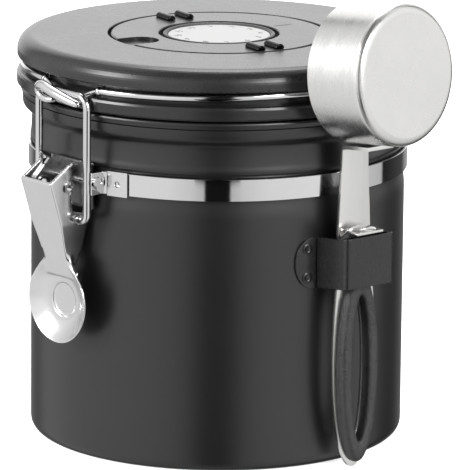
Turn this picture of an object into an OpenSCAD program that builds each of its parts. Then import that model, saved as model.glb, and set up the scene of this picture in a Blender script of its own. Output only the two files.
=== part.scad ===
// Coffee canister with a clamped lid, a one-way valve under a turning date ring, and a hanging scoop.
// Millimetres. Z is up, the origin is the centre of the base, the latch faces -Y and the lid hinge is at +Y.

/* [Canister body] */
// Outer radius of the body wall
body_r = 60; // [55:0.5:75]
// Height of the rolled rim above the table
body_h = 113.1; // [105:0.5:160]
// Thickness of the steel wall
wall = 0.8; // [0.6:0.1:1.5]
// Radius of the rounded bottom edge
bottom_round = 3.8; // [3:0.5:8]
// How far the rolled rim stands out past the body wall
rim_out = 3.4; // [2.5:0.1:5]
// Height of the rolled rim
rim_h = 2.7; // [2:0.1:4]
// Height of the flare from the wall to the rim
flare_h = 7; // [6:0.5:10]
// Height of the hollow under the base
base_hollow = 1.2; // [0.6:0.1:2]

/* [Clamp band] */
// Height of the band
band_h = 7; // [5:0.5:10]
// Thickness of the band
band_t = 0.6; // [0.5:0.1:1]
// Depth from the rim to the top of the band
band_drop = 18.5; // [17:0.5:24]
// Thickness of the bracket sheet
sheet = 1; // [0.8:0.1:1.5]

/* [Lid] */
// Height of the cap above its lower edge
cap_h = 6.9; // [6.4:0.1:12]
// How far the cap stands out past the body wall
cap_out = 4.5; // [4.2:0.1:8]
// Radius of the cap's upper edge
cap_round = 5; // [3:0.5:6]
// Thickness of the plastic walls
shell = 2; // [1.6:0.1:2.5]
// Height of the skirt under the wire groove
skirt_h = 4.5; // [4:0.1:8]
// Height of the wire groove
groove_h = 4.5; // [4:0.1:6]
// Depth of the plug below the skirt
plug_h = 7; // [5:0.5:12]
// Gap between the plug and the mouth
plug_gap = 1; // [0.6:0.1:2]
// Gap between the skirt and the rim
seat_gap = 0.5; // [0.4:0.1:1]
// Diameter of the lid wire
ring_d = 2.3; // [2:0.1:2.6]

/* [Date ring] */
// Outer radius of the turning ring
date_r = 34.6; // [30:0.2:38]
// Gap round the turning ring
ring_play = 1; // [0.4:0.1:1.5]
// Radius of the white dial
dial_r = 16.4; // [12:0.2:18]
// Thickness of the turning ring
date_t = 2.9; // [2.4:0.1:4]
// Height of the finger grips
grip_up = 1.6; // [1:0.1:3]
// Angle of the pair of grips
date_turn = -12; // [-180:1:180]

/* [Latch] */
// Width of the lever across its side walls
lever_w = 14.6; // [12:0.2:18]
// Radius of the thumb dish
dish_r = 13.6; // [11:0.2:16]
// Diameter of the bail wire
bail_d = 2.5; // [2:0.1:3]
// Distance between the bail legs, centre to centre
bail_w = 23; // [20:0.5:30]
// Outer radius of the hollow rivets
rivet_r = 1.5; // [1.2:0.1:1.8]
// Running clearance of pivots, radial
run_gap = 0.05; // [0.03:0.01:0.1]

/* [Rear hinge] */
// Radius of the hinge pin
pin_r = 1.3; // [1:0.1:1.6]
// Distance of the hinge pin behind the body wall
hinge_out = 8; // [7.5:0.1:11]

/* [Scoop and holder] */
// Turn of the holder away from the +X side
holder_angle = -2.2; // [-10:0.2:10]
// Height of the holder
holder_h = 16.2; // [12:0.2:22]
// Height of the holder's lower edge above the table
holder_z = 58.5; // [50:0.5:62]
// Distance of the holder's front plate from the body wall
holder_out = 15; // [14:0.5:20]
// How much higher the front plate stands than the ears
holder_rise = 1.9; // [0:0.1:3]
// Gap between the handle and each side wall of the holder
holder_play = 0.4; // [0.3:0.1:1.5]
// Outer radius of the scoop cup
cup_r = 22.2; // [18:0.2:26]
// Depth of the scoop cup
cup_depth = 22; // [16:0.5:30]
// Wall of the scoop cup
cup_wall = 0.9; // [0.7:0.1:1.2]
// Widest width of the steel handle
handle_w = 17; // [14:0.2:21]
// Widest width of the moulded grip
grip_w = 15.2; // [12:0.2:18]
// Widest width of the finger slot
slot_w = 6.9; // [5:0.1:9]
// Gap between the lower end of the handle and the table
handle_lift = 0.5; // [0.5:0.5:6]

/* [Hidden] */
$fn = 96;
eps = 0.01;
skin_gap = 0.06;
slide_gap = 0.1;
free_gap = 0.3;

// Heights up the canister and the lid
rim_r = body_r + rim_out;
mouth_r = rim_r - 3;
band_top = body_h - band_drop;
band_z = band_top - band_h;
band_r = body_r + 0.3;
band_outer = band_r + band_t;
skirt_z = body_h + seat_gap;
skirt_top = skirt_z + skirt_h;
cap_z = skirt_top + groove_h;
lid_top = cap_z + cap_h;
cap_r = body_r + cap_out;
skirt_r = cap_r + 0.1;
collar_r = cap_r - 3.2;
plug_r = mouth_r - plug_gap;
plug_z = skirt_z - plug_h;
gasket_r = mouth_r + 1.4;
gasket_w = 1.3;
plate_z = skirt_top - 1.6;
plate_top = skirt_top + 0.2;

// Turning ring and dial
well_r = date_r + ring_play;
well_z = lid_top - date_t - free_gap;
hole_r = dial_r + 2.9;
boss_r = dial_r + 0.6;
boss_z = well_z + 1.6;
ledge_t = 1;
bezel_r = hole_r - 1.4;
dial_t = 1;

// Lid wire
ring_r = cap_r - 1.8;
ring_z = skirt_top + groove_h / 2 + 0.2;
nose_y = -(body_r + 3.4);
nose_z = ring_z - 5.35;
nose_half = bail_w / 2 - 3.5;
notch_half = bail_w / 2 - 0.3;
notch_y = body_r + 1.9;

// Bail and lever, with y negative towards the front
bail_y = -(body_r + 5.25);
bail_top = nose_z + 3.2;
pivot_y = -(body_r + 9);
pivot_z = band_z + 1.8;
foot_z = pivot_z - 10.6;
dish_y = -(body_r + 7.9);
dish_z = pivot_z - 37.7;
dish_deep = 2.6;
pad_r = 5.4;
ear_half = lever_w / 2 - sheet - slide_gap;
foot_r = bail_d / 2 + run_gap;

// Rear hinge
hinge_y = body_r + hinge_out;
hinge_z = body_h - 1.1;
knuckle_r = pin_r + 1;
eye_r = pin_r + 1.7;
eye_x = 7;
knuckle_half = eye_x - ring_d / 2 - 0.4;

// Holder and scoop, in the holder's own frame with x pointing away from the body
holder_t = 0.9;
front_x = body_r + holder_out;
ear_turn = 16.2;
strip_x = body_r + 6.4;
strip_t = 1.2;
loop_x = strip_x + 0.7;
grip_x = loop_x + strip_t / 2;
grip_t = 3.9;
strip_half = 5.3;
holder_top = holder_z + holder_h;
holder_in = handle_w + 2 * holder_play;
front_top = holder_top + holder_rise;
loop_z = handle_lift + 34.5;
loop_up = 46;
grip_z = loop_z - 1.6;
grip_long = 31;
slot_z = loop_z - 2;
slot_long = 23.6;
cup_turn = 6.7;
cup_lean = 5;
cup_x = strip_x + 2.1;
cup_y = -2;
tab_len = 12.3;
cup_z = cap_z + 5.3;
tab_z = cup_z - cup_r / cos(cup_lean) - 0.1;

// Vector helpers
function unit(v) = v / norm(v);
function turn_of(a, p, b) = acos(max(-1, min(1, unit(a - p) * unit(b - p))));
function trim_of(a, p, b, r) = r / tan(turn_of(a, p, b) / 2);
function arc_centre(a, p, b, r) = p + unit(unit(a - p) + unit(b - p)) * r / sin(turn_of(a, p, b) / 2);

// Points along the rounded corner p between a and b
function corner(a, p, b, r, n = 6) =
  let (c = arc_centre(a, p, b, r), t = trim_of(a, p, b, r))
  let (v = p + unit(a - p) * t - c, w = p + unit(b - p) * t - c, sweep = 180 - turn_of(a, p, b))
  [for (k = [0:n]) c + (sin((1 - k / n) * sweep) * v + sin(k / n * sweep) * w) / sin(sweep)];

// A path whose inner corners are rounded
function rounded(path, r, n = 6) =
  let (last = len(path) - 1)
  [for (i = [0:last])
    each (i == 0 || i == last) ? [path[i]] : corner(path[i - 1], path[i], path[i + 1], r, n)];

// Left-hand side step of a flat path at point i, mitred
function side_step(path, i) =
  let (last = len(path) - 1)
  let (p = unit(path[max(i, 1)] - path[max(i, 1) - 1]))
  let (q = unit(path[min(i, last - 1) + 1] - path[min(i, last - 1)]))
  let (m = unit(p + q))
  [-m.y, m.x] / (m * p);

// Outline of a bent sheet of thickness t that follows a flat path
function sheet_outline(path, t) =
  let (last = len(path) - 1)
  concat(
    [for (i = [0:last]) path[i] + side_step(path, i) * t / 2],
    [for (i = [last:-1:0]) path[i] - side_step(path, i) * t / 2]
  );

// Points on an arc
function arc(c, r, a0, a1, n = 8) =
  [for (k = [0:n]) let (a = a0 + (a1 - a0) * k / n) c + r * [cos(a), sin(a)]];

// Smooth step from 0 to 1
function ease(t) = (1 - cos(180 * max(0, min(1, t)))) / 2;

// Straight round rod from a to b
module rod(a, b, d) {
  v = b - a;
  translate(a)
    rotate([0, acos(v.z / norm(v)), atan2(v.y, v.x)])
      cylinder(h = norm(v), d = d, $fn = 32);
}

// Ball that joins two rods of the same wire
module ball(p, d) {
  translate(p) sphere(d = d + 0.04, $fn = 32);
}

// Bent round wire through a list of points
module wire(path, d) {
  last = len(path) - 1;
  for (i = [0:last - 1]) rod(path[i], path[i + 1], d);
  for (i = [1:1:last - 1]) ball(path[i], d);
}

// Part of a tube between two angles, counted from +X
module tube_arc(r0, r1, z0, z1, a0, a1) {
  rotate([0, 0, a0]) translate([0, 0, z0])
    rotate_extrude(angle = a1 - a0) translate([r0, 0]) square([r1 - r0, z1 - z0]);
}

module tube(r0, r1, z0, z1) {
  translate([0, 0, z0]) difference() {
    cylinder(h = z1 - z0, r = r1);
    translate([0, 0, -1]) cylinder(h = z1 - z0 + 2, r = r0);
  }
}

// A flat y-z outline, extruded evenly to both sides of the x = 0 plane
module across(width) {
  rotate([90, 0, 90]) linear_extrude(width, center = true) children();
}

// Half profile of the body's outside, from the centre of the base to the mouth
function body_outside() =
  let (neck = body_h - rim_h, groove = 0.25)
  concat(
    [[0, base_hollow], [body_r - 2 * bottom_round, base_hollow], [body_r - 1.7 * bottom_round, 0]],
    arc([body_r - bottom_round, bottom_round], bottom_round, -90, 0),
    [[body_r, band_z - 4], [body_r - groove, band_z - 1.2], [body_r - groove, band_top + 0.8]],
    [[body_r + 0.25, band_top + 1.8], [body_r + 0.2, band_top + 3], [body_r - 0.1, neck - flare_h - 1]],
    [for (k = [0:8]) [body_r - 0.1 + 2.9 * ease(k / 8), neck - flare_h * (1 - k / 8 * 0.65)]],
    [[body_r + 2.8, neck]]
  );

// The same profile, one wall thickness further in
function body_inside() =
  let (neck = body_h - rim_h)
  concat(
    [[0, base_hollow + wall], [body_r - 2 * bottom_round, base_hollow + wall]],
    [[body_r - 1.7 * bottom_round, wall]],
    arc([body_r - bottom_round, bottom_round], bottom_round - wall, -90, 0),
    [[body_r - wall, band_z - 4], [body_r - wall - 0.25, band_z - 1.2], [body_r - wall - 0.25, band_top + 0.8]],
    [[body_r - wall, band_top + 3], [body_r - wall - 0.1, neck - flare_h - 1.4]],
    [for (k = [0:8])
      [body_r - 0.1 - wall + 2.9 * ease(k / 8), neck - 0.4 - flare_h * (1 - k / 8 * 0.65)]],
    [[body_r + 2.8 - wall, neck + eps]]
  );

// Drawn steel canister with a rounded foot and a rolled rim
module canister_body() {
  out = body_outside();
  inn = body_inside();
  last = len(inn) - 1;
  color([0.09, 0.09, 0.09]) union() {
    rotate_extrude() polygon(concat(out, [for (i = [last:-1:0]) inn[i]]));
    rotate_extrude() polygon(concat(
      arc([mouth_r + 0.8, body_h - rim_h + 0.8], 0.8, 180, 270, 4),
      arc([rim_r - 0.8, body_h - rim_h + 0.8], 0.8, -90, 0, 4),
      arc([rim_r - 1, body_h - 1], 1, 0, 90, 5),
      arc([mouth_r + 1, body_h - 1], 1, 90, 180, 5)
    ));
  }
}

// Band round the body, open behind the latch, with its ends folded outwards
module clamp_band() {
  tab_x = bail_w / 2 + bail_d / 2 + free_gap;
  open = asin((tab_x + band_t / 2) / band_r);
  color([0.8, 0.8, 0.8]) union() {
    tube_arc(band_r, band_outer, band_z, band_top, open - 90, 270 - open);
    difference() {
      for (s = [-1, 1]) translate([s * (tab_x + band_t / 2) - band_t / 2, -(band_outer + 4.2), band_z])
        cube([band_t, 6, band_h]);
      cylinder(h = body_h, r = band_r + 0.1);
      band_pin_shape(0.02);
    }
  }
}

// Two pressed plates clinched on the band beside its ends
module clinch_plates() {
  r = band_outer + skin_gap;
  color([0.7, 0.7, 0.7]) for (s = [-1, 1]) rotate([0, 0, -90 + s * 17.4]) difference() {
    tube_arc(r, r + 0.7, band_z - 0.4, band_top + 0.4, -3.4, 3.4);
    translate([r + 1.5, 0, band_z + band_h / 2]) sphere(r = 1.3, $fn = 48);
  }
}

// Plate between the band's ends with two ears for the lever
module latch_bracket() {
  plate_y = band_outer + skin_gap;
  ear_z0 = pivot_z - 7.3;
  ear_z1 = pivot_z + 7.3;
  nose = arc([-pivot_y, pivot_z], 3.4, -90, 60, 10);
  ear_top = [[-bail_y + 1.1, pivot_z + 7.3], [plate_y + 0.4, pivot_z + 7.3]];
  color([0.78, 0.78, 0.78]) difference() {
    union() {
      translate([-9.6, -(plate_y + 0.9), ear_z0]) cube([19.2, 0.9, ear_z1 - ear_z0]);
      for (s = [-1, 1]) translate([s * (ear_half - sheet / 2), 0, 0]) across(sheet)
        polygon([for (p = concat([[plate_y + 0.4, ear_z0]], nose, ear_top)) [-p.x, p.y]]);
    }
    translate([0, pivot_y, pivot_z]) rotate([0, 90, 0])
      cylinder(h = lever_w, r = rivet_r + 0.02, center = true, $fn = 48);
    band_pin_shape(0.02);
  }
}

// Line of the screw that ties the two ends of the band
module band_pin_shape(grow) {
  translate([0, -(band_outer + 2.2), band_z + 3.5]) rotate([0, 90, 0])
    cylinder(h = bail_w + 7, r = 0.6 + grow, center = true, $fn = 32);
}

// Screw through the band's ends, with a round head on each side
module band_pin() {
  face = bail_w / 2 + bail_d / 2 + free_gap + band_t + 0.02;
  color([0.74, 0.74, 0.74]) union() {
    intersection() {
      band_pin_shape(0);
      cube([2 * face + 1, 200, 400], center = true);
    }
    for (s = [-1, 1]) translate([s * (face + 0.5), -(band_outer + 2.2), band_z + 3.5]) rotate([0, 90, 0])
      cylinder(h = 1, r = 2.05, center = true, $fn = 48);
  }
}

// Two hollow rivets that carry the lever
module lever_rivets() {
  inner = ear_half - sheet - 0.5;
  outer = lever_w / 2 + slide_gap;
  color([0.82, 0.82, 0.82]) for (s = [-1, 1]) translate([0, pivot_y, pivot_z]) rotate([0, s * 90, 0])
    difference() {
      union() {
        translate([0, 0, inner]) cylinder(h = outer - inner + 0.3, r = rivet_r, $fn = 48);
        translate([0, 0, outer]) cylinder(h = 0.5, r = rivet_r + 0.55, $fn = 48);
        translate([0, 0, inner]) cylinder(h = 0.5 - skin_gap, r = rivet_r + 0.5, $fn = 48);
      }
      cylinder(h = lever_w, r = rivet_r - 0.3, $fn = 48);
    }
}

// Upper and lower end of the lever's sloping front face, in the y-z plane
web_top = [pivot_y - 7.6, pivot_z + 2.2];
web_low = [dish_y + 1, dish_z + dish_r + 0.2];

// Side outline of the lever's channel: its rear edge goes round the rivet and above the bail's foot
function lever_side() = concat(
  [web_top, [pivot_y + 0.6, pivot_z + 7.5], [pivot_y + 1.3, pivot_z + 4.6]],
  arc([pivot_y, pivot_z], rivet_r + 1, 58, -58, 8),
  [[pivot_y + 1.2, pivot_z - 3.4], [pivot_y + 1.2, foot_z + 4.2], [pivot_y + 2, foot_z + 2.7]],
  [[bail_y + 1.6, foot_z + 2.1], [bail_y + 3.7, foot_z + 1.9], [bail_y + 4, foot_z - 2]],
  [[dish_y + 5.7, dish_z + dish_r + 3.5], [dish_y + 3.9, dish_z + dish_r - 1.4]],
  [[dish_y + 1.7, dish_z + dish_r - 2.4], [dish_y + 0.4, dish_z + dish_r - 2.4]]
);

// The hollow of the channel, open above and towards the body
function lever_hollow() =
  let (along = web_top - web_low, back = [sheet * norm(along) / along.y, 0])
  [web_low + back, web_top + back + along / 2, [pivot_y + 14, web_top.y + 14], [pivot_y + 14, web_low.y]];

// Front outline of the lever's channel in the x-z plane, drawn in by t
function lever_front(t) =
  let (w = lever_w / 2 - t)
  let (right = [[w - 2.2, dish_z + dish_r - 2], [w - 1.2, foot_z - 8], [w, foot_z - 2], [w, pivot_z + 9]])
  concat(right, [for (i = [3:-1:0]) [-right[i].x, right[i].y]]);

// Prism of the front outline
module lever_prism(t) {
  translate([0, -body_r, 0]) rotate([90, 0, 0]) linear_extrude(40) polygon(lever_front(t));
}

// Pressed lever: a channel with a round thumb dish at its lower end
module latch_lever() {
  color([0.72, 0.72, 0.72]) difference() {
    union() {
      difference() {
        intersection() {
          across(lever_w + 2) polygon(lever_side());
          lever_prism(0);
        }
        intersection() {
          across(lever_w + 2) polygon(lever_hollow());
          lever_prism(sheet);
        }
      }
      translate([0, dish_y, dish_z]) rotate([-90, 0, 0]) rotate_extrude() polygon(dish_outline());
    }
    translate([0, pivot_y, pivot_z]) rotate([0, 90, 0])
      cylinder(h = lever_w + 2, r = rivet_r + run_gap, center = true, $fn = 48);
    translate([0, bail_y, foot_z]) rotate([0, 90, 0])
      cylinder(h = lever_w + 2, r = foot_r, center = true, $fn = 48);
  }
}

// Depth of the thumb dish at radius r, outside its flat pad
function dish_at(r) = 0.1 + (dish_deep - 0.6) * cos(90 * (r - pad_r) / (dish_r - 0.6 - pad_r));

// Half profile of the thumb dish, radius against depth
function dish_outline() =
  let (r = dish_r, t = sheet, d = dish_deep)
  let (slope = [for (k = [0:7]) pad_r + 0.3 + (dish_r - 0.9 - pad_r) * k / 7])
  concat(
    [[0, d], [pad_r, d]], [for (x = slope) [x, dish_at(x)]],
    [[r - 0.15, 0.25], [r, 0.6], [r - 0.3, 1]],
    [for (k = [7:-1:0]) [slope[k], dish_at(slope[k]) + t]],
    [[pad_r, d + t], [0, d + t]]
  );

// Quarter bend of the bail wire in the x-z plane, starting at angle a
module bail_corner(x, z, r, a) {
  translate([x, bail_y, z]) rotate([90, 0, 0]) rotate([0, 0, a])
    rotate_extrude(angle = 90, $fn = 48) translate([r, 0]) circle(d = bail_d, $fn = 32);
}

// Wire bail: two legs, a top bar, and feet turned in to the lever
module latch_bail() {
  half = bail_w / 2;
  foot = lever_w / 2 - sheet - 0.6;
  low = 2.4;
  top = 4;
  color([0.85, 0.85, 0.85]) union() {
    for (s = [-1, 1]) {
      translate([s * half, bail_y, foot_z + low])
        cylinder(h = bail_top - foot_z - low - top, d = bail_d, $fn = 32);
      translate([s * (foot + half - low) / 2, bail_y, foot_z]) rotate([0, 90, 0])
        cylinder(h = half - low - foot, d = bail_d, center = true, $fn = 32);
      bail_corner(s * (half - top), bail_top - top, top, s > 0 ? 0 : 90);
      bail_corner(s * (half - low), foot_z + low, low, s > 0 ? 270 : 180);
    }
    translate([0, bail_y, bail_top]) rotate([0, 90, 0])
      cylinder(h = 2 * (half - top), d = bail_d, center = true, $fn = 32);
  }
}

// Rolled steel lip that is folded round the front of the bail's top bar
module bail_hook() {
  roll = 3.4;
  thick = 0.8;
  c = [-(bail_y - 0.65), bail_top - 0.8];
  color([0.85, 0.85, 0.85]) difference() {
    across(bail_w - 5)
      polygon([for (p = concat(arc(c, roll, -60, 105, 18), arc(c, roll - thick, 105, -60, 18))) [-p.x, p.y]]);
    translate([0, bail_y, bail_top]) rotate([0, 90, 0])
      cylinder(h = bail_w, r = bail_d / 2 + 0.02, center = true, $fn = 48);
  }
}

// Strap from the band up to the barrel of the lid hinge
module hinge_bracket() {
  y0 = band_outer + skin_gap + sheet / 2;
  y1 = hinge_y - knuckle_r + sheet / 2;
  path = rounded([[y0, band_z - 3.5], [y0, band_top + 3], [y1, hinge_z - 7.5], [y1, hinge_z]], 3);
  color([0.78, 0.78, 0.78]) difference() {
    union() {
      across(2 * knuckle_half) polygon(sheet_outline(path, sheet));
      rotate([0, 0, 90])
        tube_arc(y0 - sheet / 2, y0 + sheet / 2, band_z, band_top, -16, 16);
      translate([0, hinge_y, hinge_z]) rotate([0, 90, 0])
        cylinder(h = 2 * knuckle_half, r = knuckle_r, center = true, $fn = 64);
    }
    translate([0, hinge_y, hinge_z]) rotate([0, 90, 0])
      cylinder(h = 4 * knuckle_half, r = pin_r + 0.02, center = true, $fn = 64);
  }
}

module hinge_pin() {
  reach = eye_x + ring_d / 2 + 0.4;
  color([0.74, 0.74, 0.74]) translate([0, hinge_y, hinge_z]) rotate([0, 90, 0]) {
    cylinder(h = 2 * reach, r = pin_r, center = true, $fn = 64);
    for (s = [-1, 1]) translate([0, 0, s * (reach + 0.4)])
      cylinder(h = 0.8, r = pin_r + 0.9, center = true, $fn = 64);
  }
}

// Bent steel loop on the wall, with a rounded ear on each side; the loop rises towards its front plate
module scoop_holder() {
  half = holder_in / 2 + holder_t / 2;
  ear_y = body_r * sin(ear_turn);
  path = rounded([[body_r - 3, half], [front_x - holder_t / 2, half], [front_x - holder_t / 2, -half],
    [body_r - 3, -half]], 1.4);
  low = [[body_r, holder_z], [front_x + 1, holder_z + holder_rise]];
  side = concat(low, [[front_x + 1, front_top], [body_r, holder_top]]);
  color([0.1, 0.1, 0.1]) rotate([0, 0, holder_angle]) union() {
    difference() {
      intersection() {
        translate([0, 0, holder_z - 1]) linear_extrude(holder_h + holder_rise + 2)
          polygon(sheet_outline(path, holder_t));
        rotate([90, 0, 0]) linear_extrude(2 * holder_in, center = true) polygon(side);
      }
      translate([0, 0, holder_z - 1]) cylinder(h = holder_h + holder_rise + 2, r = body_r + skin_gap + 0.4);
    }
    intersection() {
      tube(body_r + skin_gap, body_r + skin_gap + holder_t, holder_z, holder_top);
      for (s = [-1, 1]) translate([body_r - 10, 0, holder_z + holder_h / 2]) rotate([90, 0, 90])
        linear_extrude(12) polygon(concat(
          [[s * holder_in / 2, -holder_h / 2], [s * holder_in / 2, holder_h / 2]],
          [for (p = arc([0, 0], 1, 90, -90, 12)) [s * (ear_y - 5.6 + 5.6 * p.x), p.y * holder_h / 2]]
        ));
    }
  }
}

// Four spot rivets through the holder's ears
module holder_rivets() {
  color([0.1, 0.1, 0.1]) for (s = [-1, 1], h = [-4.6, 4.6])
    rotate([0, 0, holder_angle + s * 12.2])
      translate([body_r + skin_gap + holder_t + 0.02, 0, holder_z + holder_h / 2 + h]) rotate([0, 90, 0])
        cylinder(h = 0.45, r1 = 1.3, r2 = 0.9, $fn = 32);
}

// Half outline of the cap from its lower edge over the top to the well
function cap_outside() = concat(
  [[cap_r - 0.4, cap_z], [cap_r, cap_z + 0.4]],
  arc([cap_r - cap_round, lid_top - cap_round], cap_round, 0, 90, 12),
  arc([well_r + 0.4, lid_top - 0.4], 0.4, 90, 180, 3),
  [[well_r, well_z], [boss_r, well_z], [boss_r, boss_z], [0, boss_z]]
);

function cap_inside() = [
  [0, boss_z - shell], [boss_r - shell, boss_z - shell], [boss_r - shell, well_z - shell],
  [well_r + shell, well_z - shell], [well_r + shell, lid_top - shell],
  [cap_r - cap_round, lid_top - shell], [cap_r - shell, lid_top - cap_round], [cap_r - shell, cap_z]
];

screw_r = collar_r - 12;

// Moulded cap with the well for the turning ring, and four screw posts inside
module lid_cap() {
  color([0.12, 0.12, 0.12]) difference() {
    union() {
      rotate_extrude() polygon(concat(cap_outside(), cap_inside()));
      for (k = [0:3]) rotate([0, 0, 45 + 90 * k]) translate([screw_r, 0, plate_top + 0.02])
        cylinder(h = lid_top - shell - plate_top + 0.5, r = 3.2, $fn = 48);
    }
    for (k = [0:3]) rotate([0, 0, 45 + 90 * k]) translate([screw_r, 0, plate_top - 1])
      cylinder(h = 6.2, r = 1.32, $fn = 32);
    for (a = [0:30:330]) rotate([0, 0, a]) translate([boss_r - 4.6, 0, boss_z - shell - 1])
      cylinder(h = shell + 2, r = 0.9, $fn = 24);
  }
}

// Lower half of the lid: skirt, wire groove, plug and the plate that closes the cap
module lid_base() {
  color([0.11, 0.11, 0.11]) difference() {
    rotate_extrude() polygon([
      [12.2, plate_z], [12.2, plate_top], [collar_r - shell, plate_top], [collar_r - shell, cap_z + 1.3],
      [cap_r - shell - 0.15, cap_z + 1.3], [cap_r - shell - 0.15, cap_z - 0.1], [collar_r, cap_z - 0.1],
      [collar_r, skirt_top], [skirt_r - 1, skirt_top], [skirt_r - 0.3, skirt_top - 0.3],
      [skirt_r, skirt_top - 1], [skirt_r, skirt_z + 0.6], [skirt_r - 0.6, skirt_z],
      [gasket_r + 0.1, skirt_z], [gasket_r + 0.1, skirt_z + 1.6],
      [gasket_r - gasket_w - 0.1, skirt_z + 1.6], [gasket_r - gasket_w - 0.1, skirt_z], [plug_r, skirt_z],
      [plug_r, plug_z + 0.8], [plug_r - 0.8, plug_z], [plug_r - shell, plug_z], [plug_r - shell, plate_z]
    ]);
    translate([-notch_half, -skirt_r - 1, skirt_z - 1])
      cube([2 * notch_half, skirt_r + 1 - notch_y, skirt_h + 1.05]);
    translate([-notch_half, -skirt_r - 1, skirt_z + 2.6])
      cube([2 * notch_half, skirt_r + 1 - ring_r + ring_d / 2 + 1.15, skirt_h]);
    for (k = [0:3]) rotate([0, 0, 45 + 90 * k]) translate([screw_r, 0, plate_z - 1])
      cylinder(h = 4, r = 1.5, $fn = 32);
    for (k = [0:2]) rotate([0, 0, 30 + 120 * k]) translate([13.8, 0, plate_z - 1])
      cylinder(h = 4, r = 0.6, $fn = 24);
  }
}

module lid_gasket() {
  color([0.16, 0.16, 0.16])
    tube(gasket_r - gasket_w, gasket_r, body_h + free_gap, skirt_z + 1.6 - 0.02);
}

// Wire round the lid: a dipped nose in front and two eyes on the hinge pin behind
module lid_ring() {
  front = asin(12 / ring_r);
  rear = asin((eye_x + 1.5) / ring_r);
  f0 = [ring_r * sin(front), -ring_r * cos(front), ring_z];
  f1 = [nose_half + 1.2, f0.y - 0.45, ring_z - 0.9];
  f2 = [nose_half, nose_y, nose_z];
  r0 = [ring_r * sin(rear), ring_r * cos(rear), ring_z];
  r1 = [eye_x, ring_r + 1.4, ring_z];
  r2 = [eye_x, hinge_y - 0.6, ring_z - 2.4];
  r3 = [eye_x, hinge_y, hinge_z + pin_r + 1];
  color([0.86, 0.86, 0.86]) difference() {
    union() {
      for (s = [0, 1]) mirror([s, 0, 0]) {
        translate([0, 0, ring_z]) rotate([0, 0, front - 90])
          rotate_extrude(angle = 180 - front - rear) translate([ring_r, 0]) circle(d = ring_d, $fn = 32);
        ball(f0, ring_d);
        wire([f0, f1, f2], ring_d);
        ball(f2, ring_d);
        ball(r0, ring_d);
        wire([r0, r1, r2, r3], ring_d);
        translate([eye_x, hinge_y, hinge_z]) rotate([0, 90, 0])
          cylinder(h = ring_d + 0.1, r = eye_r, center = true, $fn = 64);
      }
      rod(f2, [-f2.x, f2.y, f2.z], ring_d);
    }
    translate([0, hinge_y, hinge_z]) rotate([0, 90, 0])
      cylinder(h = 4 * eye_x, r = pin_r + run_gap, center = true, $fn = 64);
  }
}

// Four screws that hold the base to the cap
module lid_screws() {
  color([0.6, 0.6, 0.6]) for (k = [0:3]) rotate([0, 0, 45 + 90 * k]) translate([screw_r, 0, 0])
    difference() {
      union() {
        translate([0, 0, plate_z - 0.1]) cylinder(h = 6, r = 1.3, $fn = 32);
        translate([0, 0, plate_z - 1.8]) cylinder(h = 1.78, r = 2.6, $fn = 48);
      }
      for (a = [0, 90]) rotate([0, 0, a]) translate([-1.6, -0.3, plate_z - 2]) cube([3.2, 0.6, 1.2]);
    }
}

// Sloping ring that traps the turning ring and frames the dial
module dial_bezel() {
  z = boss_z;
  color([0.45, 0.45, 0.45]) rotate_extrude() polygon([
    [dial_r + 0.05, z + 0.02], [bezel_r, z + 0.02], [bezel_r, lid_top - 0.25],
    [bezel_r - 0.35, lid_top], [bezel_r - 0.8, lid_top - 0.1], [dial_r + 0.05, z + dial_t + 0.1]
  ]);
}

// White dial plate; its ring of plain numbers is printed
module date_dial() {
  color([0.93, 0.93, 0.92]) translate([0, 0, boss_z + 0.02])
    rotate_extrude()
      polygon([[0, 0], [dial_r, 0], [dial_r, dial_t - 0.2], [dial_r - 0.2, dial_t], [0, dial_t]]);
}

// Turning ring with a sunk finger notch and seats for the grips
module date_ring() {
  z = well_z + free_gap;
  color([0.13, 0.13, 0.13]) rotate([0, 0, date_turn]) difference() {
    rotate_extrude() polygon([
      [boss_r + 0.3, z], [date_r, z], [date_r, lid_top - 0.4], [date_r - 0.4, lid_top],
      [hole_r + 0.3, lid_top], [hole_r, lid_top - 0.3], [hole_r, z + ledge_t], [boss_r + 0.3, z + ledge_t]
    ]);
    rotate([0, 0, -90]) translate([date_r - 6.2, 0, lid_top - 1.2]) {
      cylinder(h = 3, r = 5.6, $fn = 64);
      translate([0, -5.6, 0]) cube([10, 11.2, 3]);
    }
    ring_marks(0.02);
  }
}

// Pockets of the pointer and of the grips
module ring_marks(grow) {
  rotate([0, 0, 93.5]) translate([hole_r + 2.2 - grow, -0.4 - grow, lid_top - 0.4])
    cube([6.2 + 2 * grow, 0.8 + 2 * grow, 1]);
}

// Two pairs of raised finger grips on the turning ring
module ring_grips() {
  reach = date_r - hole_r - 7.1;
  color([0.03, 0.03, 0.03]) rotate([0, 0, date_turn]) for (a = [0, 180], s = [-1, 1]) rotate([0, 0, a])
    translate([date_r - 1.7, s * 3.4, lid_top + 0.02]) rotate([90, 0, -90])
      linear_extrude(reach)
        polygon(concat([[-1.6, 0], [1.6, 0]], arc([0, 0], 1, 0, 180, 10) * [[1.6, 0], [0, grip_up]]));
}

module ring_pointer() {
  color([0.8, 0.8, 0.8]) rotate([0, 0, date_turn + 93.5])
    translate([hole_r + 2.2, -0.4, lid_top - 0.38]) cube([6.2, 0.8, 0.42]);
}

valve_floor = plate_z - 7.4;

// Cup under the lid with six vents and a hole for the flap's stem
module valve_seat() {
  color([0.2, 0.2, 0.2]) difference() {
    union() {
      tube(11, 15.4, plate_z - 1.4, plate_z - 0.02);
      translate([0, 0, valve_floor]) cylinder(h = plate_z - 0.5 - valve_floor, r = 12);
    }
    translate([0, 0, valve_floor + 1.5]) cylinder(h = 20, r = 10.2);
    translate([0, 0, valve_floor - 1]) cylinder(h = 5, r = 1.6, $fn = 48);
    for (k = [0:5]) rotate([0, 0, 60 * k]) translate([5, 0, valve_floor - 1])
      cylinder(h = 5, r = 1.2, $fn = 32);
  }
}

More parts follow.
